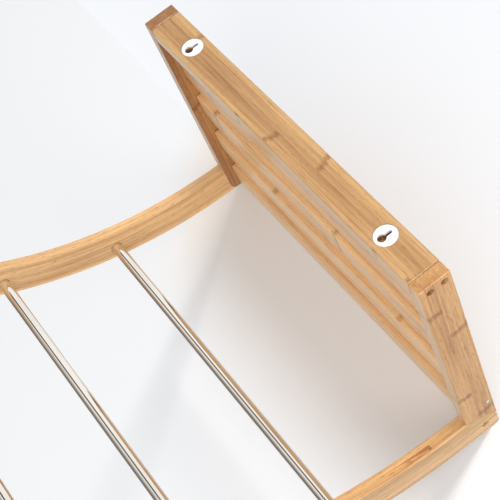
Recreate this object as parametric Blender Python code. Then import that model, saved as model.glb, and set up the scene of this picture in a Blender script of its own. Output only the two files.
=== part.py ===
"""Wall mounted rack: a slatted bamboo shelf with a curved drying frame that swings down to the wall.

Metres, +Z up. The origin is the middle of the wall rail's back face, and the wall is the plane Y = 0.
The shelf stands out towards -Y. Left and right are as seen from the front, so left is -X.
"""

from math import acos, asin, atan2, cos, degrees, hypot, pi, radians, sin, sqrt

import bmesh
import bpy
from mathutils import Matrix, Vector

# Boards
WIDTH = 0.500
DEPTH = 0.310
BOARD_T = 0.016
BOARD_H = 0.038
RAIL_T = 0.018
GAP = 0.0003
EASED = 0.0011

# Slats, listed from the wall: where each back edge is and how wide the slat is
SLAT_T = 0.0125
SLAT_UNDER = -0.0075
SLAT_PITCH = 0.0709
SLAT_W = 0.0668
REAR_SLAT_W = 0.0300
FRONT_SLAT_BACK = -0.2690
SLAT_EASED = 0.0018
SLAT_RISE = 0.0055
SLAT_FLAT = 0.46

# Keyhole hangers
KEYHOLE_X = 0.1755
KEYHOLE_Z = 0.0000
PLATE_R = 0.0127
PLATE_T = 0.0024
HEAD_HOLE_R = 0.0048
NECK_W = 0.0038
NECK_RISE = 0.0124
HEAD_HOLE_DROP = 0.0046
POCKET_DEPTH = 0.0095

# Pivot, and the lap joint around it
PIVOT_Y = -0.2960
PIVOT_Z = 0.0020
KNUCKLE_R = 0.0170
LAP_T = BOARD_T / 2
SWING = 51.0

# Curved arms: two concentric arcs cut off by the wall
ARM_W = 0.0395
ARC_R = 0.5650
ARC_Y = ARC_R - DEPTH
ARC_Z = -0.0050
INNER_R = ARC_R - ARM_W
ARC_STEPS = 44

# The pocket routed in the hollow edge of the left arm
POCKET_START_Z = -0.0640
POCKET_END_Z = -0.1560
POCKET_W = 0.0066
POCKET_WALL = 0.0026

# Rods: places as angles below the arcs' centre
ROD_R = 0.0068
ROD_WALL = 0.0009
ROD_ANGLES = (19.2, 35.3, 52.5)
ROD_ARC_R = 0.5480
SOCKET_R = 0.0072
SOCKET_DEPTH = 0.0095

# Fasteners
HEAD_R = 0.0037
HEAD_T = 0.0026
COUNTERBORE_R = 0.0043
SHANK_R = 0.0020
SHANK_HOLE_R = 0.0024
SCREW_L = 0.0360
SCREW_DEPTH = 0.0070
SCREW_Z = (-0.0070, 0.0100)
BOLT_DEPTH = 0.0018
BOLT_L = 0.0118
WASHER_T = 0.0007
INSERT_R = 0.0036
INSERT_L = 0.0065
DOWEL_R = 0.0030
DOWEL_L = 0.0130
PIN_Y = -0.2568
PIN_Z = 0.0125
PIN_R = 0.0021
PIN_L = 0.0120

HALF_IN = WIDTH / 2 - BOARD_T
HALF_H = BOARD_H / 2
SIDES = (("left", -1), ("right", 1))

for old in list(bpy.data.objects):
    bpy.data.objects.remove(old)


# ---------------------------------------------------------------- materials


def material(name, color, roughness, metallic=0.0):
    made = bpy.data.materials.new(name)
    made.use_nodes = True
    shader = made.node_tree.nodes["Principled BSDF"]
    shader.inputs["Base Color"].default_value = (*color, 1)
    shader.inputs["Roughness"].default_value = roughness
    shader.inputs["Metallic"].default_value = metallic
    return made


BAMBOO = material("bamboo", (0.62, 0.38, 0.18), 0.5)
DOWEL_WOOD = material("dowel_beech", (0.66, 0.47, 0.28), 0.6)
STEEL = material("polished_steel", (0.72, 0.71, 0.69), 0.12, 1.0)
ZINC = material("zinc_plated_steel", (0.55, 0.55, 0.56), 0.35, 1.0)
BRASS = material("brass", (0.72, 0.52, 0.22), 0.35, 1.0)
WHITE = material("white_plastic", (0.86, 0.86, 0.85), 0.35)


# ---------------------------------------------------------------- mesh tools


def add_object(name, mesh, finish, parent=None, location=(0, 0, 0)):
    made = bpy.data.objects.new(name, mesh)
    bpy.context.scene.collection.objects.link(made)
    made.location = location
    if parent:
        made.parent = parent
    if finish:
        mesh.materials.append(finish)
    return made


def mesh_from(name, shape):
    bmesh.ops.recalc_face_normals(shape, faces=shape.faces)
    mesh = bpy.data.meshes.new(name)
    shape.to_mesh(mesh)
    shape.free()
    mesh.shade_smooth()
    mesh.set_sharp_from_angle(angle=radians(32))
    return mesh


def prism_mesh(name, outline, low, high, axis="X"):
    """A straight prism of an outline: (y, z) points along X, or (x, z) points along Y."""
    shape = bmesh.new()
    ends = []
    for along in (low, high):
        if axis == "X":
            ring = [shape.verts.new((along, a, b)) for a, b in outline]
        else:
            ring = [shape.verts.new((a, along, b)) for a, b in outline]
        ends.append(ring)
        shape.faces.new(ring)
    count = len(outline)
    for i in range(count):
        j = (i + 1) % count
        shape.faces.new((ends[0][i], ends[0][j], ends[1][j], ends[1][i]))
    return mesh_from(name, shape)


def turned_mesh(name, profile, steps=24):
    """A solid turned about X from (x, radius) points, which end on the axis or close on themselves."""
    shape = bmesh.new()
    rings = []
    for x, radius in profile:
        if radius == 0:
            rings.append([shape.verts.new((x, 0, 0))])
            continue
        turn = [2 * pi * i / steps for i in range(steps)]
        rings.append([shape.verts.new((x, radius * cos(a), radius * sin(a))) for a in turn])
    pairs = list(zip(rings, rings[1:]))
    if profile[0][1] > 0:
        pairs.append((rings[-1], rings[0]))
    for first, second in pairs:
        for i in range(steps):
            j = (i + 1) % steps
            corners = [first[i % len(first)], first[j % len(first)]]
            corners += [second[j % len(second)], second[i % len(second)]]
            shape.faces.new(list(dict.fromkeys(corners)))
    return mesh_from(name, shape)


def arc(centre, radius, start, end, steps):
    """Points on an arc, both ends included, with angles in degrees from the first axis."""
    turns = [radians(start + (end - start) * i / steps) for i in range(steps + 1)]
    return [(centre[0] + radius * cos(a), centre[1] + radius * sin(a)) for a in turns]


def ease(piece, width=EASED, segments=2):
    """Rounds the piece's arrises, and leaves the fine steps of its curves alone."""
    bevel = piece.modifiers.new("eased_arrises", "BEVEL")
    bevel.width = width
    bevel.segments = segments
    bevel.limit_method = "ANGLE"
    bevel.angle_limit = radians(40)


def cut(piece, cutter):
    cutter.hide_render = True
    cutter.display_type = "WIRE"
    cutter.parent = piece.parent
    removed = piece.modifiers.new("cut_" + cutter.name, "BOOLEAN")
    removed.operation = "DIFFERENCE"
    removed.solver = "EXACT"
    removed.object = cutter


def drill(piece, name, profile, at, steps=20):
    """Cuts a turned hole whose axis is parallel to X through the point at."""
    cut(piece, add_object(name, turned_mesh(name, profile, steps), None, location=at))


# ---------------------------------------------------------------- outlines around the pivot


def on_arc_circle(radius, z):
    """Y of the arms' arc of this radius at height z, both measured from the pivot."""
    down = z + PIVOT_Z - ARC_Z
    return ARC_Y - sqrt(radius**2 - down**2) - PIVOT_Y


def wall_angle(radius):
    """Angle of the point where the arc of this radius meets the wall, from the arc's centre."""
    return 180 + degrees(acos(ARC_Y / radius))


ARC_CENTRE = (ARC_Y - PIVOT_Y, ARC_Z - PIVOT_Z)
TOP = HALF_H - PIVOT_Z
BOTTOM = -HALF_H - PIVOT_Z
CORNER_Y = on_arc_circle(INNER_R, BOTTOM)
TIP_R = 0.0035


def tip_points(top, front_inset):
    """The rounded top front corner, from the front edge to the top edge."""
    front = on_arc_circle(ARC_R, top) + front_inset
    return arc((front + TIP_R, top - TIP_R), TIP_R, 180, 90, 5)


def knuckle_start(radius, corner_y):
    """Angle about the pivot where a tangent from the inner corner meets the knuckle."""
    return degrees(atan2(BOTTOM, corner_y)) + degrees(acos(radius / hypot(corner_y, BOTTOM)))


def knuckle_line(radius, corner_y):
    """The back of the arm's lap: up a tangent from the inner corner, then round the pivot to its top."""
    return [(corner_y, BOTTOM)] + arc((0, 0), radius, knuckle_start(radius, corner_y), 90, 14)


def relief_line(radius, corner_y):
    """The same line for the side board, opened near the top by what the arm's square tip sweeps as it swings."""
    start = knuckle_start(radius, corner_y)
    points = [(corner_y, BOTTOM)]
    for step in range(29):
        turn = start + (90 - start) * step / 28
        ahead = SWING - (90 - turn)
        swept = TOP / cos(radians(ahead)) + GAP if ahead > 0 else 0
        reach = max(radius, swept)
        points.append((reach * cos(radians(turn)), reach * sin(radians(turn))))
    return points


def arm_outline():
    """The whole arm seen from the side, from the wall up its front edge and back down its hollow edge."""
    start, end = wall_angle(ARC_R), degrees(asin((ARC_Z - PIVOT_Z - TOP) / ARC_R)) * -1
    front_top = 180 - end
    front = arc(ARC_CENTRE, ARC_R, start, front_top, ARC_STEPS)
    front = [p for p in front if p[1] < TOP - TIP_R]
    hollow_end = degrees(atan2(BOTTOM - ARC_CENTRE[1], CORNER_Y - ARC_CENTRE[0])) % 360
    hollow = arc(ARC_CENTRE, INNER_R, hollow_end, wall_angle(INNER_R), ARC_STEPS)
    lap = knuckle_line(KNUCKLE_R, CORNER_Y)
    return front + tip_points(TOP, 0) + lap[::-1] + hollow[1:]


def tongue_outline(grow):
    """The side board's front tongue below and before the pivot, grown by a clearance when it is a cutter."""
    front = on_arc_circle(ARC_R, 0)
    radius = -BOTTOM - GAP + grow
    last = degrees(acos(-front / radius))
    return [(CORNER_Y + 0.02, -radius)] + arc((0, 0), radius, -90, -180 + last, 10)


# ---------------------------------------------------------------- shelf


def make_side_board(side, sign):
    """A side board whose outer half is cut back around the pivot and whose inner half runs on as a tongue."""
    tongue = tongue_outline(0)
    low_front = tongue[-1]
    fronts = [(on_arc_circle(ARC_R, z), z) for z in (low_front[1] + 0.006, 0.0, 0.008)]
    outline = [(-PIVOT_Y, TOP), (-PIVOT_Y, BOTTOM), (CORNER_Y - GAP, BOTTOM)] + tongue[1:] + fronts
    outline += tip_points(TOP, 0)
    low, high = sorted((sign * HALF_IN, sign * WIDTH / 2))
    board = add_object(
        "side_board_" + side, prism_mesh("side_board", outline, low, high), BAMBOO, location=(0, PIVOT_Y, PIVOT_Z)
    )
    ease(board)
    lap = relief_line(KNUCKLE_R + GAP, CORNER_Y + GAP)
    past = 0.02
    lap_cut = [(lap[0][0] + 0.001, BOTTOM - past)] + lap + [(0, TOP + past), (-past * 2, TOP + past)]
    lap_cut.append((-past * 2, BOTTOM - past))
    inner, outer = sorted((sign * (WIDTH / 2 - LAP_T - GAP / 2), sign * (WIDTH / 2 + 0.005)))
    cutter = add_object("lap_cut_" + side, prism_mesh("lap_cut", lap_cut, inner, outer), None, location=board.location)
    cut(board, cutter)
    outside = sign * WIDTH / 2
    for level, z in zip(("lower", "upper"), SCREW_Z):
        bore = [(0.001, 0), (0.001, COUNTERBORE_R), (-SCREW_DEPTH, COUNTERBORE_R), (-SCREW_DEPTH, SHANK_HOLE_R)]
        bore += [(-BOARD_T - 0.001, SHANK_HOLE_R), (-BOARD_T - 0.001, 0)]
        profile = [(x * sign, r) for x, r in bore]
        drill(board, f"screw_bore_{side}_{level}", profile, (outside, -RAIL_T / 2, z))
    pin = [(0.001, 0), (0.001, PIN_R + GAP), (-PIN_L - GAP, PIN_R + GAP), (-PIN_L - GAP, 0)]
    drill(board, "pin_bore_" + side, [(x * sign, r) for x, r in pin], (outside, PIN_Y, PIN_Z), 16)
    inside = sign * HALF_IN
    seat = [(-0.001, 0), (-0.001, INSERT_R + GAP), (INSERT_L + GAP, INSERT_R + GAP), (INSERT_L + GAP, SHANK_HOLE_R)]
    seat += [(BOARD_T, SHANK_HOLE_R), (BOARD_T, 0)]
    drill(board, "insert_bore_" + side, [(x * sign, r) for x, r in seat], (inside, PIVOT_Y, PIVOT_Z))
    for index, y in dowel_places():
        hole = [(-0.001, 0), (-0.001, DOWEL_R + GAP), (DOWEL_L / 2 + GAP, DOWEL_R + GAP), (DOWEL_L / 2 + GAP, 0)]
        at = (inside, y, SLAT_UNDER + SLAT_T / 2)
        drill(board, f"dowel_bore_{side}_{index}", [(x * sign, r) for x, r in hole], at, 12)


def slat_places():
    """(back edge, width) of each slat, from the wall to the front."""
    front = (FRONT_SLAT_BACK, FRONT_SLAT_BACK + DEPTH - 0.0015)
    wide = [(FRONT_SLAT_BACK + SLAT_PITCH * step, SLAT_W) for step in (3, 2, 1)]
    rear_back = wide[0][0] + (SLAT_PITCH - SLAT_W) + REAR_SLAT_W
    return [(rear_back, REAR_SLAT_W)] + wide + [front]


def dowel_places():
    """(number, y) of each dowel: two in a wide slat's end, and one in a narrow slat's."""
    places = []
    for back, width in slat_places():
        middle = back - width / 2
        offsets = (-width / 4, width / 4) if width > 0.05 else (0,)
        if back == FRONT_SLAT_BACK:
            middle, offsets = back - 0.0100, (0,)
        places += [middle + offset for offset in offsets]
    return list(enumerate(places, 1))


def make_slats():
    """Slats with a flat top, whose undersides rise towards their front edges."""
    for number, (back, width) in enumerate(slat_places(), 1):
        half = HALF_IN - GAP
        under, top = SLAT_UNDER, SLAT_UNDER + SLAT_T
        front = back - width
        turn = back - width * SLAT_FLAT
        rise = SLAT_RISE * min(1, width / SLAT_W) * (0.5 if number == 5 else 1)
        outline = [(back, top), (back, under), (turn, under), (front, under + rise), (front, top)]
        slat = add_object(f"slat_{number}", prism_mesh("slat", outline, -half, half), BAMBOO)
        ease(slat, SLAT_EASED, 3)
        for side, sign in SIDES:
            for index, y in dowel_places():
                if back - width < y < back:
                    deep = DOWEL_L / 2 + GAP
                    hole = [(0.001, 0), (0.001, DOWEL_R + GAP), (-deep, DOWEL_R + GAP), (-deep, 0)]
                    at = (sign * half, y, (under + top) / 2)
                    drill(slat, f"slat_bore_{side}_{index}", [(x * sign, r) for x, r in hole], at, 12)


def make_dowels():
    body = [(-DOWEL_L / 2, 0), (-DOWEL_L / 2, DOWEL_R - 0.0006), (-DOWEL_L / 2 + 0.0008, DOWEL_R)]
    body += [(-x, r) for x, r in reversed(body)]
    mesh = turned_mesh("slat_dowel", body, 12)
    for side, sign in SIDES:
        for index, y in dowel_places():
            at = (sign * HALF_IN, y, SLAT_UNDER + SLAT_T / 2)
            add_object(f"slat_dowel_{side}_{index}", mesh, DOWEL_WOOD if not mesh.materials else None, location=at)


def keyhole(grow=0.0):
    """The keyhole's outline in (x, z), its round hole below its narrow neck."""
    hole, neck = HEAD_HOLE_R + grow, NECK_W / 2 + grow
    lift = degrees(asin(neck / hole))
    low = arc((0, -HEAD_HOLE_DROP), hole, 90 + lift, 450 - lift, 20)
    high = arc((0, NECK_RISE - HEAD_HOLE_DROP - NECK_W / 2), neck, 0, 180, 8)
    return low + high


def make_rail():
    half = HALF_IN - GAP
    outline = [(0, HALF_H), (0, -HALF_H), (-RAIL_T, -HALF_H), (-RAIL_T, HALF_H)]
    rail = add_object("wall_rail", prism_mesh("wall_rail", outline, -half, half), BAMBOO)
    ease(rail)
    for side, sign in SIDES:
        at = Vector((sign * KEYHOLE_X, 0, KEYHOLE_Z))
        recess = [(0.001, 0), (0.001, PLATE_R + GAP), (-PLATE_T - GAP, PLATE_R + GAP), (-PLATE_T - GAP, 0)]
        seat = turned_mesh("plate_seat", recess, 40)
        seat.transform(Matrix.Rotation(pi / 2, 4, "Z"))
        cut(rail, add_object("plate_seat_" + side, seat, None, location=at))
        pocket = prism_mesh("head_pocket", keyhole(0.0022), -POCKET_DEPTH, -PLATE_T + 0.0005, "Y")
        cut(rail, add_object("head_pocket_" + side, pocket, None, location=at))
        for level, z in zip(("lower", "upper"), SCREW_Z):
            deep = SCREW_L - (BOARD_T - SCREW_DEPTH) + 0.002
            hole = [(0.001, 0), (0.001, SHANK_HOLE_R), (-deep, SHANK_HOLE_R), (-deep, 0)]
            place = (sign * half, -RAIL_T / 2, z)
            drill(rail, f"rail_bore_{side}_{level}", [(x * sign, r) for x, r in hole], place, 12)


def make_keyhole_plates():
    """Thin round plates let in flush with the rail, each with a keyhole right through it."""
    edge = 0.0005
    profile = [(0, 0), (0, PLATE_R - edge), (-edge, PLATE_R), (-PLATE_T, PLATE_R), (-PLATE_T, 0)]
    for side, sign in SIDES:
        disc = turned_mesh("keyhole_plate", profile, 48)
        disc.transform(Matrix.Rotation(pi / 2, 4, "Z"))
        at = (sign * KEYHOLE_X, 0, KEYHOLE_Z)
        plate = add_object("keyhole_plate_" + side, disc, WHITE, location=at)
        through = prism_mesh("keyhole_cut", keyhole(), -PLATE_T - 0.001, 0.001, "Y")
        cut(plate, add_object("keyhole_cut_" + side, through, None, location=at))


# ---------------------------------------------------------------- fasteners


def headed_profile(length, tip):
    """A screw or bolt along X from its head's face at 0, with a socket in the head."""
    socket_r, socket_deep = 0.0017, 0.0014
    points = [(-socket_deep, 0), (-socket_deep, socket_r), (0, socket_r), (0, HEAD_R - 0.0006)]
    points += [(-0.0006, HEAD_R), (-HEAD_T, HEAD_R), (-HEAD_T, SHANK_R)]
    return points + [(-length + tip, SHANK_R), (-length, 0.0006 if tip else SHANK_R), (-length, 0)]


def make_rail_screws():
    for side, sign in SIDES:
        profile = [(x * sign, r) for x, r in headed_profile(SCREW_L, 0.005)]
        for level, z in zip(("lower", "upper"), SCREW_Z):
            at = (sign * (WIDTH / 2 - SCREW_DEPTH + HEAD_T + GAP), -RAIL_T / 2, z)
            add_object(f"rail_screw_{side}_{level}", turned_mesh("rail_screw", profile, 18), ZINC, location=at)


def make_steel_pins():
    for side, sign in SIDES:
        body = [(0, 0), (0, PIN_R - 0.0004), (-0.0004, PIN_R), (-PIN_L, PIN_R), (-PIN_L, 0)]
        mesh = turned_mesh("steel_pin", [(x * sign, r) for x, r in body], 20)
        add_object("steel_pin_" + side, mesh, STEEL, location=(sign * WIDTH / 2, PIN_Y, PIN_Z))


def make_pivots():
    """On each side a socket bolt with a washer, run through the arm's lap into a brass insert in the tongue."""
    for side, sign in SIDES:
        at = (sign * (WIDTH / 2 - BOLT_DEPTH), PIVOT_Y, PIVOT_Z)
        bolt = [(x * sign, r) for x, r in headed_profile(BOLT_L, 0)]
        add_object("pivot_bolt_" + side, turned_mesh("pivot_bolt", bolt, 20), ZINC, location=at)
        face = -HEAD_T - GAP
        inner = SHANK_R + GAP
        ring = [(face, inner), (face, HEAD_R), (face - WASHER_T, HEAD_R), (face - WASHER_T, inner)]
        washer = turned_mesh("pivot_washer", [(x * sign, r) for x, r in ring], 24)
        add_object("pivot_washer_" + side, washer, STEEL, location=at)
        sleeve = [(GAP, inner), (GAP, INSERT_R), (INSERT_L, INSERT_R), (INSERT_L, inner)]
        insert = turned_mesh("pivot_insert", [(x * sign, r) for x, r in sleeve], 20)
        add_object("pivot_insert_" + side, insert, BRASS, location=(sign * HALF_IN, PIVOT_Y, PIVOT_Z))


# ---------------------------------------------------------------- drying frame


def rod_place(angle):
    """(y, z) of a rod's axis in the part's own frame."""
    return ARC_Y - ROD_ARC_R * cos(radians(angle)), ARC_Z - ROD_ARC_R * sin(radians(angle))


def make_arm(side, sign, frame):
    """A curved arm whose top is halved: the outer half swings round the pivot, the inner stops short."""
    low, high = sorted((sign * HALF_IN, sign * WIDTH / 2))
    arm = add_object("arm_" + side, prism_mesh("arm", arm_outline(), low, high), BAMBOO, frame)
    ease(arm)
    tongue = tongue_outline(GAP)
    past = 0.04
    halving = [(past + CORNER_Y, TOP + past), (past + CORNER_Y, BOTTOM)] + tongue[1:]
    halving += [(-past, tongue[-1][1]), (-past, TOP + past)]
    inner, middle = sorted((sign * (HALF_IN - 0.005), sign * (WIDTH / 2 - LAP_T + GAP / 2)))
    cut(arm, add_object("halving_" + side, prism_mesh("halving", halving, inner, middle), None))
    seat = BOLT_DEPTH + HEAD_T + WASHER_T + 2 * GAP
    bore = [(0.001, 0), (0.001, COUNTERBORE_R), (-seat, COUNTERBORE_R), (-seat, SHANK_HOLE_R)]
    bore += [(-BOARD_T, SHANK_HOLE_R), (-BOARD_T, 0)]
    drill(arm, "pivot_bore_" + side, [(x * sign, r) for x, r in bore], (sign * WIDTH / 2, 0, 0))
    for number, angle in enumerate(ROD_ANGLES, 1):
        y, z = rod_place(angle)
        hole = [(-0.001, 0), (-0.001, SOCKET_R), (SOCKET_DEPTH, SOCKET_R), (SOCKET_DEPTH, 0)]
        at = (sign * HALF_IN, y - PIVOT_Y, z - PIVOT_Z)
        drill(arm, f"rod_socket_{side}_{number}", [(x * sign, r) for x, r in hole], at, 28)
    return arm


def rout_pocket(arm, sign):
    """A straight-bottomed pocket: it starts square and runs out where its floor touches the hollow edge."""
    y0, z0 = on_arc_circle(INNER_R, POCKET_START_Z - PIVOT_Z), POCKET_START_Z - PIVOT_Z
    y1, z1 = on_arc_circle(INNER_R, POCKET_END_Z - PIVOT_Z), POCKET_END_Z - PIVOT_Z
    along = Vector((ARC_CENTRE[1] - z1, y1 - ARC_CENTRE[0])).normalized()
    out = Vector((ARC_CENTRE[0] - y1, ARC_CENTRE[1] - z1)).normalized()
    end = Vector((y1, z1))
    length = (Vector((y0, z0)) - end).length
    along = along if along.y > 0 else -along
    floor = [end - along * 0.012, end + along * length]
    outline = [tuple(p) for p in floor] + [tuple(p + out * 0.03) for p in reversed(floor)]
    outer = sign * (WIDTH / 2 - POCKET_WALL)
    low, high = sorted((outer, outer - sign * POCKET_W))
    cut(arm, add_object("pocket_cut", prism_mesh("pocket_cut", outline, low, high), None))


def make_rods(frame):
    """Steel tubes, open inside, whose ends stand in the arms' sockets."""
    half = HALF_IN + SOCKET_DEPTH - GAP
    wall = [(-half, ROD_R - ROD_WALL), (-half, ROD_R), (half, ROD_R), (half, ROD_R - ROD_WALL)]
    for number, angle in enumerate(ROD_ANGLES, 1):
        y, z = rod_place(angle)
        at = (0, y - PIVOT_Y, z - PIVOT_Z)
        add_object(f"rod_{number}", turned_mesh("rod", wall, 40), STEEL, frame, at)


def main():
    make_rail()
    make_keyhole_plates()
    for side, sign in SIDES:
        make_side_board(side, sign)
    make_slats()
    make_dowels()
    make_rail_screws()
    make_steel_pins()
    make_pivots()
    frame = bpy.data.objects.new("drying_frame", None)
    bpy.context.scene.collection.objects.link(frame)
    frame.location = (0, PIVOT_Y, PIVOT_Z)
    for side, sign in SIDES:
        arm = make_arm(side, sign, frame)
        if side == "left":
            rout_pocket(arm, sign)
    make_rods(frame)


main()
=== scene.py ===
"""Looks, light and camera for the wall mounted drying rack.

Metres, in the part's own frame: the wall is the plane Y = 0, +Y runs into the wall and +Z is up in use.
The rack is shown lying on its front, so the studio floor is an upright plane in front of the shelf.
"""

from math import cos, pi, radians, sin, tan

import bmesh
import bpy
from mathutils import Matrix, Vector


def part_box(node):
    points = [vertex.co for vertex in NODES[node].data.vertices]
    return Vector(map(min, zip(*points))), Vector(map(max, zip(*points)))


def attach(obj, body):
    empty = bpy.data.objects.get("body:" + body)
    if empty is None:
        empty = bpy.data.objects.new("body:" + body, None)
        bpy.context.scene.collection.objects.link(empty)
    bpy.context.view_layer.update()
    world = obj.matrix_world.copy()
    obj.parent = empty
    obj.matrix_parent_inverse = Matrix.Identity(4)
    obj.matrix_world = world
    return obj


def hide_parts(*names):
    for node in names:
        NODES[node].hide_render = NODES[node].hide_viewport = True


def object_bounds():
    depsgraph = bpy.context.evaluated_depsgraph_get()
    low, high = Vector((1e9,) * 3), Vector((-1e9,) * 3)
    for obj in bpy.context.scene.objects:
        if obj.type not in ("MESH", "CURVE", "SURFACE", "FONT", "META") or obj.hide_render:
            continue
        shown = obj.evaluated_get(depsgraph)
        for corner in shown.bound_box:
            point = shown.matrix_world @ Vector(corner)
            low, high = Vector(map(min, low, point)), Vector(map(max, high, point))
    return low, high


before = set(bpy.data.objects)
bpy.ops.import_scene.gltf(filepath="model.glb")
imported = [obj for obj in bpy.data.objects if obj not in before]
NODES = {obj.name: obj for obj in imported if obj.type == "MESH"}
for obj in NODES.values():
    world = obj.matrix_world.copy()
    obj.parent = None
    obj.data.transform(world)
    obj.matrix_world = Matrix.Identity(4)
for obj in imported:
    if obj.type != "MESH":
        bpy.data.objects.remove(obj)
CAD_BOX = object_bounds()

# How far the frame swings out, in degrees, and what the floor's slope leaves beyond that.
SWING, SWING_ROOM = 50.0, 1.0
# The floor: its upright part's Y, the height where it bends, and how far it reaches.
FLOOR_Y = CAD_BOX[0].y - 0.0005
FLOOR_BEND = 0.0080
FLOOR_HIGH, FLOOR_LOW, FLOOR_HALF = 6.0, 5.0, 8.0
# A faint glow that makes up for the sky the slope turns away from.
SLOPE_LIFT = 0.135
# The arms' arc: its centre in Y and Z, and the radius that its length is measured at.
ARC_CENTRE, ARC_R = (0.2550, -0.0050), 0.545
ROD_R, ROD_WALL, ROD_EASED, ROD_STEPS = 0.0068, 0.0009, 0.0003, 96
# Edges sharper than this, in degrees, stay sharp.
CREASE, ROD_CREASE = 32, 40
# The camera's place and its three axes.
CAMERA_AT = Vector((-0.9146, 1.0967, -0.2765))
CAMERA_RIGHT = Vector((-0.54444, -0.28479, 0.78898))
CAMERA_UP = Vector((0.59095, 0.53730, 0.60173))
CAMERA_BACK = Vector((-0.59528, 0.79385, -0.12423))
CAMERA_LENS = 102.45
AMBIENT = 0.62
# The dark band that the rods mirror: its angle about X, its half width and where it has faded, in radians.
BAND_TURN, BAND_HALF, BAND_END = -0.235, 0.14, 0.25


def srgb(red, green, blue):
    """Linear colour of an 8-bit screen colour."""
    parts = [v / 255 for v in (red, green, blue)]
    return [v / 12.92 if v <= 0.04045 else ((v + 0.055) / 1.055) ** 2.4 for v in parts] + [1.0]


# ---------------------------------------------------------------- node helpers


class Nodes:
    """Short ways to make and link shader nodes in one tree."""

    def __init__(self, tree):
        self.tree = tree

    def add(self, kind, **settings):
        made = self.tree.nodes.new(kind)
        for name, value in settings.items():
            setattr(made, name, value)
        return made

    def feed(self, socket, value):
        if isinstance(value, bpy.types.NodeSocket):
            self.tree.links.new(value, socket)
        elif value is not None:
            socket.default_value = value

    def math(self, operation, a, b=None, c=None, clamp=False):
        made = self.add("ShaderNodeMath", operation=operation, use_clamp=clamp)
        for socket, value in zip(made.inputs, (a, b, c)):
            self.feed(socket, value)
        return made.outputs[0]

    def vector(self, x, y, z):
        made = self.add("ShaderNodeCombineXYZ")
        for socket, value in zip(made.inputs, (x, y, z)):
            self.feed(socket, value)
        return made.outputs[0]

    def scaled(self, vector, factors):
        made = self.add("ShaderNodeMapping")
        self.feed(made.inputs["Vector"], vector)
        made.inputs["Scale"].default_value = factors
        return made.outputs[0]

    def noise(self, vector, scale=1.0, detail=3.0, rough=0.5, distortion=0.0):
        made = self.add("ShaderNodeTexNoise")
        self.feed(made.inputs["Vector"], vector)
        made.inputs["Scale"].default_value = scale
        made.inputs["Detail"].default_value = detail
        made.inputs["Roughness"].default_value = rough
        made.inputs["Distortion"].default_value = distortion
        return made.outputs["Fac"]

    def white(self, vector):
        made = self.add("ShaderNodeTexWhiteNoise", noise_dimensions="3D")
        self.feed(made.inputs["Vector"], vector)
        return made.outputs["Value"]

    def smooth(self, value, low, high, to_low=0.0, to_high=1.0):
        made = self.add("ShaderNodeMapRange", interpolation_type="SMOOTHSTEP")
        for socket, given in zip(made.inputs, (value, low, high, to_low, to_high)):
            self.feed(socket, given)
        return made.outputs[0]

    def mix(self, factor, a, b, blend="MIX"):
        made = self.add("ShaderNodeMix", data_type="RGBA", blend_type=blend)
        self.feed(made.inputs["Factor"], factor)
        self.feed(made.inputs[6], a)
        self.feed(made.inputs[7], b)
        return made.outputs[2]

    def ramp(self, value, stops):
        made = self.add("ShaderNodeValToRGB")
        self.feed(made.inputs[0], value)
        points = made.color_ramp.elements
        while len(points) < len(stops):
            points.new(0.5)
        for point, (place, color) in zip(points, stops):
            point.position = place
            point.color = color
        return made.outputs[0]


def new_material(name):
    made = bpy.data.materials.new(name)
    made.use_nodes = True
    tree = made.node_tree
    return made, Nodes(tree), tree.nodes["Principled BSDF"]


# ---------------------------------------------------------------- bamboo


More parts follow.
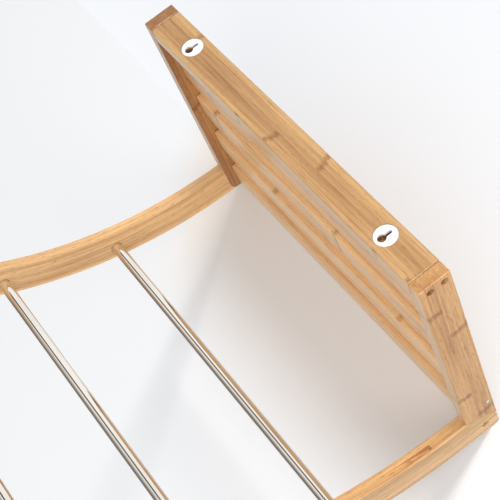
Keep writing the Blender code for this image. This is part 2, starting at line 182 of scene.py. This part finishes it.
def bamboo(
    name, along, light, dark, strip=0.0068, layer=0.0055, shift=(0, 0, 0), marks=0.55, node_step=0.24,
    turned=False, painted_sheen=0.0, fleck=0.45,
):
    """Laminated bamboo: long strips side by side, each with its own tone, fine fibres and node marks.

    along is X, Y, Z or ARC: the way the strips run. turned swaps the strips' faces with their edges.
    painted_sheen is the strength of a pale sheen painted on the faces that point down, standing in for the
    lacquer's reflection there.
    """
    made, n, shader = new_material(name)
    place = n.add("ShaderNodeTexCoord").outputs["Object"]
    split = n.add("ShaderNodeSeparateXYZ")
    n.feed(split.inputs[0], place)
    x, y, z = split.outputs
    if along == "X":
        u, v, w = x, z, y
    elif along == "Y":
        u, v, w = y, z, x
    elif along == "Z":
        u, v, w = z, x, y
    else:
        dy = n.math("SUBTRACT", ARC_CENTRE[0], y)
        dz = n.math("SUBTRACT", ARC_CENTRE[1], z)
        reach = n.math("SQRT", n.math("ADD", n.math("MULTIPLY", dy, dy), n.math("MULTIPLY", dz, dz)))
        u, v, w = n.math("MULTIPLY", n.math("ARCTAN2", dz, dy), ARC_R), reach, x
    if turned:
        v, w = w, v
    u = n.math("ADD", u, shift[0])
    v = n.math("ADD", v, shift[1])
    w = n.math("ADD", w, shift[2])

    wander = n.noise(n.vector(n.math("MULTIPLY", u, 3.0), n.math("MULTIPLY", v, 10.0), 0.0), 1.0, 1.0)
    v_bent = n.math("ADD", v, n.math("MULTIPLY", n.math("SUBTRACT", wander, 0.5), 0.0012))
    row = n.math("FLOOR", n.math("DIVIDE", v_bent, strip))
    tier = n.math("FLOOR", n.math("DIVIDE", w, layer))
    row_seed = n.white(n.vector(row, tier, 1.7))
    second_seed = n.white(n.vector(row, tier, 9.1))

    def drawn(lengthwise, across, detail, rough):
        """Noise drawn out along the strips."""
        spread = [n.math("MULTIPLY", value, by) for value, by in zip((u, v, w), (lengthwise, across, across))]
        return n.noise(n.vector(*spread), 1.0, detail, rough)

    fibres = drawn(16.0, 900.0, 4.0, 0.62)
    grain = drawn(7.0, 260.0, 3.0, 0.55)
    cloud = drawn(6.0, 28.0, 2.0, 0.5)

    tone = n.math("MULTIPLY_ADD", row_seed, 0.50, 0.10)
    tone = n.math("ADD", tone, n.math("MULTIPLY", n.math("SUBTRACT", grain, 0.5), 1.5))
    tone = n.math("ADD", tone, n.math("MULTIPLY", n.math("SUBTRACT", cloud, 0.5), 0.65), clamp=True)
    middle = [a * 0.55 + b * 0.45 for a, b in zip(light, dark)]
    color = n.ramp(tone, [(0.0, light), (0.45, middle), (1.0, dark)])
    pale = n.mix(n.math("MULTIPLY", second_seed, 0.22), color, [*[min(1.0, c * 1.16) for c in light[:3]], 1])

    threads = n.smooth(fibres, 0.53, 0.72, 0.0, 0.55)
    pale = n.mix(threads, pale, [c * 0.55 for c in dark[:3]] + [1])
    dashes = n.smooth(drawn(95.0, 1150.0, 2.0, 0.5), 0.58, 0.72, 0.0, fleck)
    pale = n.mix(dashes, pale, [c * 0.42 for c in dark[:3]] + [1])

    within = n.math("FRACT", n.math("DIVIDE", v_bent, strip))
    edge = n.math("MINIMUM", within, n.math("SUBTRACT", 1.0, within))
    joint = n.smooth(edge, 0.0, 0.055, 0.30, 0.0)
    pale = n.mix(joint, pale, [c * 0.62 for c in dark[:3]] + [1])

    group = n.math("FLOOR", n.math("DIVIDE", n.math("ADD", row, 0.4), 3.0))
    group_seed = n.white(n.vector(group, n.math("FLOOR", n.math("DIVIDE", tier, 2.0)), 4.4))
    station = n.math("ADD", n.math("DIVIDE", u, node_step), n.math("MULTIPLY", group_seed, 5.3))
    station = n.math("ADD", station, n.math("MULTIPLY", n.math("SUBTRACT", row_seed, 0.5), 0.03))
    ragged = drawn(120.0, 620.0, 3.0, 0.6)
    streak = drawn(420.0, 900.0, 2.0, 0.5)
    apart = n.math("ABSOLUTE", n.math("SUBTRACT", n.math("FRACT", station), 0.5))
    apart = n.math("MULTIPLY", apart, node_step)
    apart = n.math("ADD", apart, n.math("MULTIPLY", n.math("SUBTRACT", ragged, 0.5), 0.011))
    node_band = n.smooth(apart, 0.0002, 0.0062, 1.0, 0.0)
    chosen = n.smooth(n.white(n.vector(group, 2.2, 7.7)), 0.30, 0.42)
    node_mark = n.math("MULTIPLY", n.math("MULTIPLY", node_band, chosen), marks)
    node_mark = n.math("MULTIPLY", node_mark, n.smooth(streak, 0.34, 0.66, 0.45, 1.0))
    grain_and_sheen = n.mix(node_mark, pale, srgb(124, 72, 34))
    facing = n.add("ShaderNodeSeparateXYZ")
    n.feed(facing.inputs[0], n.add("ShaderNodeTexCoord").outputs["Normal"])
    if along in "XYZ":
        end = n.math("ABSOLUTE", facing.outputs["XYZ".index(along)])
        grain_and_sheen = n.mix(n.smooth(end, 0.90, 0.99, 0.0, 0.42), grain_and_sheen, [c * 0.9 for c in dark[:3]] + [1])
    # Painted sheen: faces that point down are paled towards cream, a painted reflection of the lacquer.
    if painted_sheen:
        grain_and_sheen = n.mix(n.smooth(facing.outputs[2], -0.995, -0.90, painted_sheen, 0.0), grain_and_sheen, srgb(228, 206, 176))
    n.feed(shader.inputs["Base Color"], grain_and_sheen)

    rough = n.math("ADD", n.math("MULTIPLY", grain, 0.16), 0.34)
    rough = n.math("ADD", rough, n.math("MULTIPLY", node_mark, 0.10))
    n.feed(shader.inputs["Roughness"], rough)
    height = n.math("SUBTRACT", n.math("MULTIPLY", grain, 0.5), n.math("MULTIPLY", threads, 0.8))
    height = n.math("SUBTRACT", height, n.math("MULTIPLY", joint, 1.2))
    height = n.math("SUBTRACT", height, n.math("MULTIPLY", node_mark, 0.5))
    bump = n.add("ShaderNodeBump")
    bump.inputs["Strength"].default_value = 0.22
    bump.inputs["Distance"].default_value = 0.0006
    n.feed(bump.inputs["Height"], height)
    n.feed(shader.inputs["Normal"], bump.outputs[0])
    shader.inputs["Coat Weight"].default_value = 0.18
    shader.inputs["Coat Roughness"].default_value = 0.22
    shader.inputs["Specular IOR Level"].default_value = 0.45
    return made


# ---------------------------------------------------------------- metal and plastic


def metal(name, color, low, high, along, brushed):
    """Metal of a roughness between low and high, brushed along X or evenly rough in ALL directions."""
    made, n, shader = new_material(name)
    place = n.add("ShaderNodeTexCoord").outputs["Object"]
    stretch = (14, 900, 900) if along == "X" else (220, 220, 220)
    hair = n.noise(n.scaled(place, stretch), 1.0, 3.0, 0.6)
    smear = n.noise(n.scaled(place, (9, 30, 30)), 1.0, 2.0, 0.5)
    value = n.math("ADD", n.math("MULTIPLY", smear, 0.6), n.math("MULTIPLY", hair, 0.4))
    n.feed(shader.inputs["Roughness"], n.smooth(value, 0.3, 0.7, low, high))
    dull = [c * 0.90 for c in color[:3]] + [1]
    n.feed(shader.inputs["Base Color"], n.mix(n.smooth(smear, 0.4, 0.75), color, dull))
    shader.inputs["Metallic"].default_value = 1.0
    bump = n.add("ShaderNodeBump")
    bump.inputs["Strength"].default_value = brushed
    bump.inputs["Distance"].default_value = 0.0002
    n.feed(bump.inputs["Height"], hair)
    n.feed(shader.inputs["Normal"], bump.outputs[0])
    return made


def plastic(name, color, rough):
    made, n, shader = new_material(name)
    place = n.add("ShaderNodeTexCoord").outputs["Object"]
    skin = n.noise(n.scaled(place, (900, 900, 900)), 1.0, 2.0, 0.5)
    wear = n.noise(n.scaled(place, (120, 120, 120)), 1.0, 3.0, 0.6)
    n.feed(shader.inputs["Roughness"], n.smooth(wear, 0.3, 0.7, rough, rough + 0.12))
    warm = [color[0] * 0.97, color[1] * 0.955, color[2] * 0.93, 1]
    n.feed(shader.inputs["Base Color"], n.mix(n.smooth(wear, 0.5, 0.8, 0.0, 0.6), color, warm))
    bump = n.add("ShaderNodeBump")
    bump.inputs["Strength"].default_value = 0.05
    bump.inputs["Distance"].default_value = 0.0002
    n.feed(bump.inputs["Height"], skin)
    n.feed(shader.inputs["Normal"], bump.outputs[0])
    shader.inputs["Coat Weight"].default_value = 0.3
    shader.inputs["Coat Roughness"].default_value = 0.1
    return made


# ---------------------------------------------------------------- pieces


def finish_node(name, material):
    """Give a CAD piece its material, smooth but for its sharp edges."""
    piece = NODES[name]
    piece.data.materials.clear()
    piece.data.materials.append(material)
    piece.data.shade_smooth()
    piece.data.set_sharp_from_angle(angle=radians(CREASE))
    for face in piece.data.polygons:
        face.material_index = 0


def lathe(name, profile, steps, material, at):
    """A smooth ring turned about X from a closed line of (x, radius) points."""
    shape = bmesh.new()
    turn = [2 * pi * i / steps for i in range(steps)]
    rings = [[shape.verts.new((x, r * cos(a), r * sin(a))) for a in turn] for x, r in profile]
    for first, second in zip(rings, rings[1:] + rings[:1]):
        for i in range(steps):
            j = (i + 1) % steps
            shape.faces.new([first[i], first[j], second[j], second[i]])
    bmesh.ops.recalc_face_normals(shape, faces=shape.faces)
    mesh = bpy.data.meshes.new(name)
    shape.to_mesh(mesh)
    shape.free()
    mesh.shade_smooth()
    mesh.set_sharp_from_angle(angle=radians(ROD_CREASE))
    mesh.materials.append(material)
    made = bpy.data.objects.new(name, mesh)
    bpy.context.scene.collection.objects.link(made)
    made.location = at
    return made


def make_rod(number, material):
    """A smooth tube in place of a faceted CAD rod."""
    node = f"rod_{number}"
    low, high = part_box(node)
    half = (high.x - low.x) / 2
    inner = ROD_R - ROD_WALL
    outline = [(-half, inner), (-half, ROD_R - ROD_EASED), (-half + ROD_EASED, ROD_R)]
    outline += [(-x, r) for x, r in reversed(outline)]
    rod = lathe(f"polished_rod_{number}", outline, ROD_STEPS, material, (low + high) / 2)
    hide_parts(node)
    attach(rod, "drying_frame")


def dress():
    rail = bamboo(
        "bamboo_rail", "X", srgb(210, 165, 110), srgb(142, 90, 48), strip=0.0063, layer=0.02,
        shift=(0.11, 0.001, 0.0), marks=0.8, painted_sheen=0.55,
    )
    finish_node("wall_rail", rail)
    for number in range(1, 6):
        slat = bamboo(
            f"bamboo_slat_{number}", "X", srgb(252, 206, 150), srgb(196, 134, 82),
            strip=0.0125 if number % 2 else 0.0105, layer=0.0085,
            shift=(0.37 * number, 0.003 * number, 0.0), turned=True, marks=0.6,
        )
        finish_node(f"slat_{number}", slat)
    # The right board's colours are darker than the left's: partly the wood's own tone, partly painted shade
    # for its inner face.
    boards = (srgb(238, 186, 124), srgb(164, 106, 54)), (srgb(198, 144, 92), srgb(124, 76, 38))
    for number, side in enumerate(("left", "right")):
        board = bamboo(
            f"bamboo_side_{side}", "Y", *boards[number], strip=0.0098, layer=0.0080,
            shift=(0.13 + 0.41 * number, 0.002, 0.2506), marks=0.75, node_step=0.17, painted_sheen=0.5, fleck=0.65,
        )
        finish_node(f"side_board_{side}", board)
        arm = bamboo(
            f"bamboo_arm_{side}", "ARC", srgb(246, 200, 142), srgb(178, 122, 70), strip=0.0100, layer=0.0080,
            shift=(0.29 + 0.53 * number, 0.0, 0.2506), marks=0.6, node_step=0.2, fleck=0.55,
        )
        finish_node(f"arm_{side}", arm)
    beech = bamboo("dowel_beech", "X", srgb(226, 196, 158), srgb(190, 152, 110), 0.01, 0.01, marks=0.0)
    zinc = metal("zinc_plate", srgb(196, 196, 198), 0.24, 0.42, "ALL", 0.12)
    brass = metal("turned_brass", srgb(214, 178, 104), 0.22, 0.36, "ALL", 0.10)
    washer = metal("washer_steel", srgb(205, 204, 202), 0.18, 0.32, "ALL", 0.10)
    pin = metal("pin_steel", srgb(232, 230, 226), 0.10, 0.2, "ALL", 0.05)
    polished = metal("polished_steel", srgb(240, 237, 232), 0.03, 0.07, "X", 0.02)
    white = plastic("white_plate", srgb(246, 246, 245), 0.22)
    for name in NODES:
        if name.startswith("slat_dowel"):
            finish_node(name, beech)
        elif name.startswith(("rail_screw", "pivot_bolt")):
            finish_node(name, zinc)
        elif name.startswith("pivot_washer"):
            finish_node(name, washer)
        elif name.startswith("pivot_insert"):
            finish_node(name, brass)
        elif name.startswith("steel_pin"):
            finish_node(name, pin)
        elif name.startswith("keyhole_plate"):
            finish_node(name, white)
    for number in (1, 2, 3):
        make_rod(number, polished)


# ---------------------------------------------------------------- studio


def make_floor():
    """Upright in front of the shelf, and sloped away below it so that the frame has room to swing.

    It is shaded as one flat floor, and is clear from its far side and to light bounced off the rack.
    """
    shape = bmesh.new()
    slope = FLOOR_LOW * tan(radians(SWING + SWING_ROOM))
    rows = [(FLOOR_Y, FLOOR_HIGH), (FLOOR_Y, FLOOR_BEND), (FLOOR_Y - slope, FLOOR_BEND - FLOOR_LOW)]
    edges = [[shape.verts.new((x, y, z)) for x in (-FLOOR_HALF, FLOOR_HALF)] for y, z in rows]
    for upper, lower in zip(edges, edges[1:]):
        shape.faces.new([upper[0], upper[1], lower[1], lower[0]])
    mesh = bpy.data.meshes.new("studio_floor")
    shape.to_mesh(mesh)
    shape.free()
    made, n, shader = new_material("studio_floor")
    place = n.add("ShaderNodeTexCoord").outputs["Object"]
    cloud = n.noise(n.scaled(place, (2.2, 2.2, 2.2)), 1.0, 2.0, 0.5)
    plain = n.mix(cloud, srgb(243, 244, 246), srgb(247, 247, 248))
    split = n.add("ShaderNodeSeparateXYZ")
    n.feed(split.inputs[0], place)
    x, _, z = split.outputs
    sloped = n.smooth(z, FLOOR_BEND - 0.0002, FLOOR_BEND + 0.0002, 1.0, 0.0)
    plain = n.mix(sloped, srgb(237, 238, 240), plain)
    # Painted shade: a warm beige tint near the shelf's foot, in place of its shadow and the warm light
    # bounced off the wood.
    painted_shade = n.math("MULTIPLY", n.smooth(z, -0.20, -0.02), n.smooth(z, 0.0, 0.02, 1.0, 0.0))
    aside = n.math("ABSOLUTE", n.math("SUBTRACT", x, 0.06))
    painted_shade = n.math("MULTIPLY", painted_shade, n.smooth(aside, 0.22, 0.34, 0.65, 0.0))
    n.feed(shader.inputs["Base Color"], n.mix(painted_shade, plain, srgb(236, 216, 196)))
    n.feed(shader.inputs["Emission Strength"], n.math("MULTIPLY", sloped, SLOPE_LIFT))
    shader.inputs["Emission Color"].default_value = (1.0, 1.0, 1.0, 1.0)
    shader.inputs["Roughness"].default_value = 0.55
    shader.inputs["Specular IOR Level"].default_value = 0.25
    n.feed(shader.inputs["Normal"], n.vector(0.0, 1.0, 0.0))
    clear = n.add("ShaderNodeBsdfTransparent")
    pick = n.add("ShaderNodeMixShader")
    behind = n.add("ShaderNodeNewGeometry").outputs["Backfacing"]
    bounced = n.add("ShaderNodeLightPath").outputs["Is Diffuse Ray"]
    n.feed(pick.inputs[0], n.math("MAXIMUM", behind, bounced))
    n.feed(pick.inputs[1], shader.outputs[0])
    n.feed(pick.inputs[2], clear.outputs[0])
    n.feed(made.node_tree.nodes["Material Output"].inputs["Surface"], pick.outputs[0])
    made.cycles.emission_sampling = "NONE"
    mesh.materials.append(made)
    floor = bpy.data.objects.new("studio_floor", mesh)
    bpy.context.scene.collection.objects.link(floor)


def add_area(name, at, target, size, power, color):
    data = bpy.data.lights.new(name, "AREA")
    data.size = size
    data.energy = power
    data.color = color
    made = bpy.data.objects.new(name, data)
    bpy.context.scene.collection.objects.link(made)
    made.location = at
    made.rotation_mode = "QUATERNION"
    made.rotation_quaternion = (Vector(target) - Vector(at)).to_track_quat("-Z", "Y")
    return made


def add_sun(name, toward, strength, wide, color):
    data = bpy.data.lights.new(name, "SUN")
    data.energy = strength
    data.angle = radians(wide)
    data.color = color
    made = bpy.data.objects.new(name, data)
    bpy.context.scene.collection.objects.link(made)
    made.rotation_mode = "QUATERNION"
    made.rotation_quaternion = Vector(toward).to_track_quat("Z", "Y")


def make_lights():
    """A soft sun from behind the wall, a fill, and a sky that glows like a floor from in front.

    Only mirrored rays see the studio's gradient and its dark band.
    """
    world = bpy.data.worlds.new("studio")
    bpy.context.scene.world = world
    world.use_nodes = True
    n = Nodes(world.node_tree)
    background = world.node_tree.nodes["Background"]
    background.inputs["Strength"].default_value = AMBIENT
    toward = n.add("ShaderNodeSeparateXYZ")
    n.feed(toward.inputs[0], n.add("ShaderNodeTexCoord").outputs["Generated"])
    floor_glow = n.smooth(toward.outputs[1], -0.35, 0.05, 1.0, 0.0)
    n.feed(background.inputs["Color"], n.mix(floor_glow, (0.93, 0.96, 1.0, 1), (1.30, 1.25, 1.18, 1)))
    turn = n.math("ARCTAN2", toward.outputs[2], toward.outputs[1])
    flag = n.smooth(n.math("ABSOLUTE", n.math("SUBTRACT", turn, BAND_TURN)), BAND_HALF, BAND_END, 1.0, 0.0)
    low = n.smooth(turn, -1.6, -0.4, 1.0, 0.0)
    studio = n.mix(low, (1.04, 1.02, 0.99, 1), (0.24, 0.20, 0.17, 1))
    mirrored = n.add("ShaderNodeBackground")
    n.feed(mirrored.inputs["Color"], n.mix(flag, studio, (0.035, 0.03, 0.028, 1)))
    plain = n.add("ShaderNodeBackground")
    plain.inputs["Color"].default_value = (0.87, 0.885, 0.91, 1)
    path = n.add("ShaderNodeLightPath")
    in_gloss, shown = n.add("ShaderNodeMixShader"), n.add("ShaderNodeMixShader")
    n.feed(in_gloss.inputs[0], path.outputs["Is Glossy Ray"])
    n.feed(in_gloss.inputs[1], background.outputs[0])
    n.feed(in_gloss.inputs[2], mirrored.outputs[0])
    n.feed(shown.inputs[0], path.outputs["Is Camera Ray"])
    n.feed(shown.inputs[1], in_gloss.outputs[0])
    n.feed(shown.inputs[2], plain.outputs[0])
    n.feed(world.node_tree.nodes["World Output"].inputs["Surface"], shown.outputs[0])
    add_sun("key", (-0.12, 1.80, 0.38), 1.30, 12.0, (1.0, 0.99, 0.97))
    add_area("fill", (-1.1, 1.0, -0.62), (0.0, -0.2, -0.05), 1.0, 12, (0.98, 0.99, 1.0))


def make_camera():
    data = bpy.data.cameras.new("view")
    data.sensor_width = 36.0
    data.lens = CAMERA_LENS
    data.clip_start, data.clip_end = 0.05, 30.0
    made = bpy.data.objects.new("view", data)
    bpy.context.scene.collection.objects.link(made)
    turn = Matrix((CAMERA_RIGHT, CAMERA_UP, CAMERA_BACK)).transposed().to_4x4()
    made.matrix_world = Matrix.Translation(CAMERA_AT) @ turn
    bpy.context.scene.camera = made
    bpy.context.scene.view_settings.view_transform = "Standard"


dress()
make_floor()
make_lights()
make_camera()
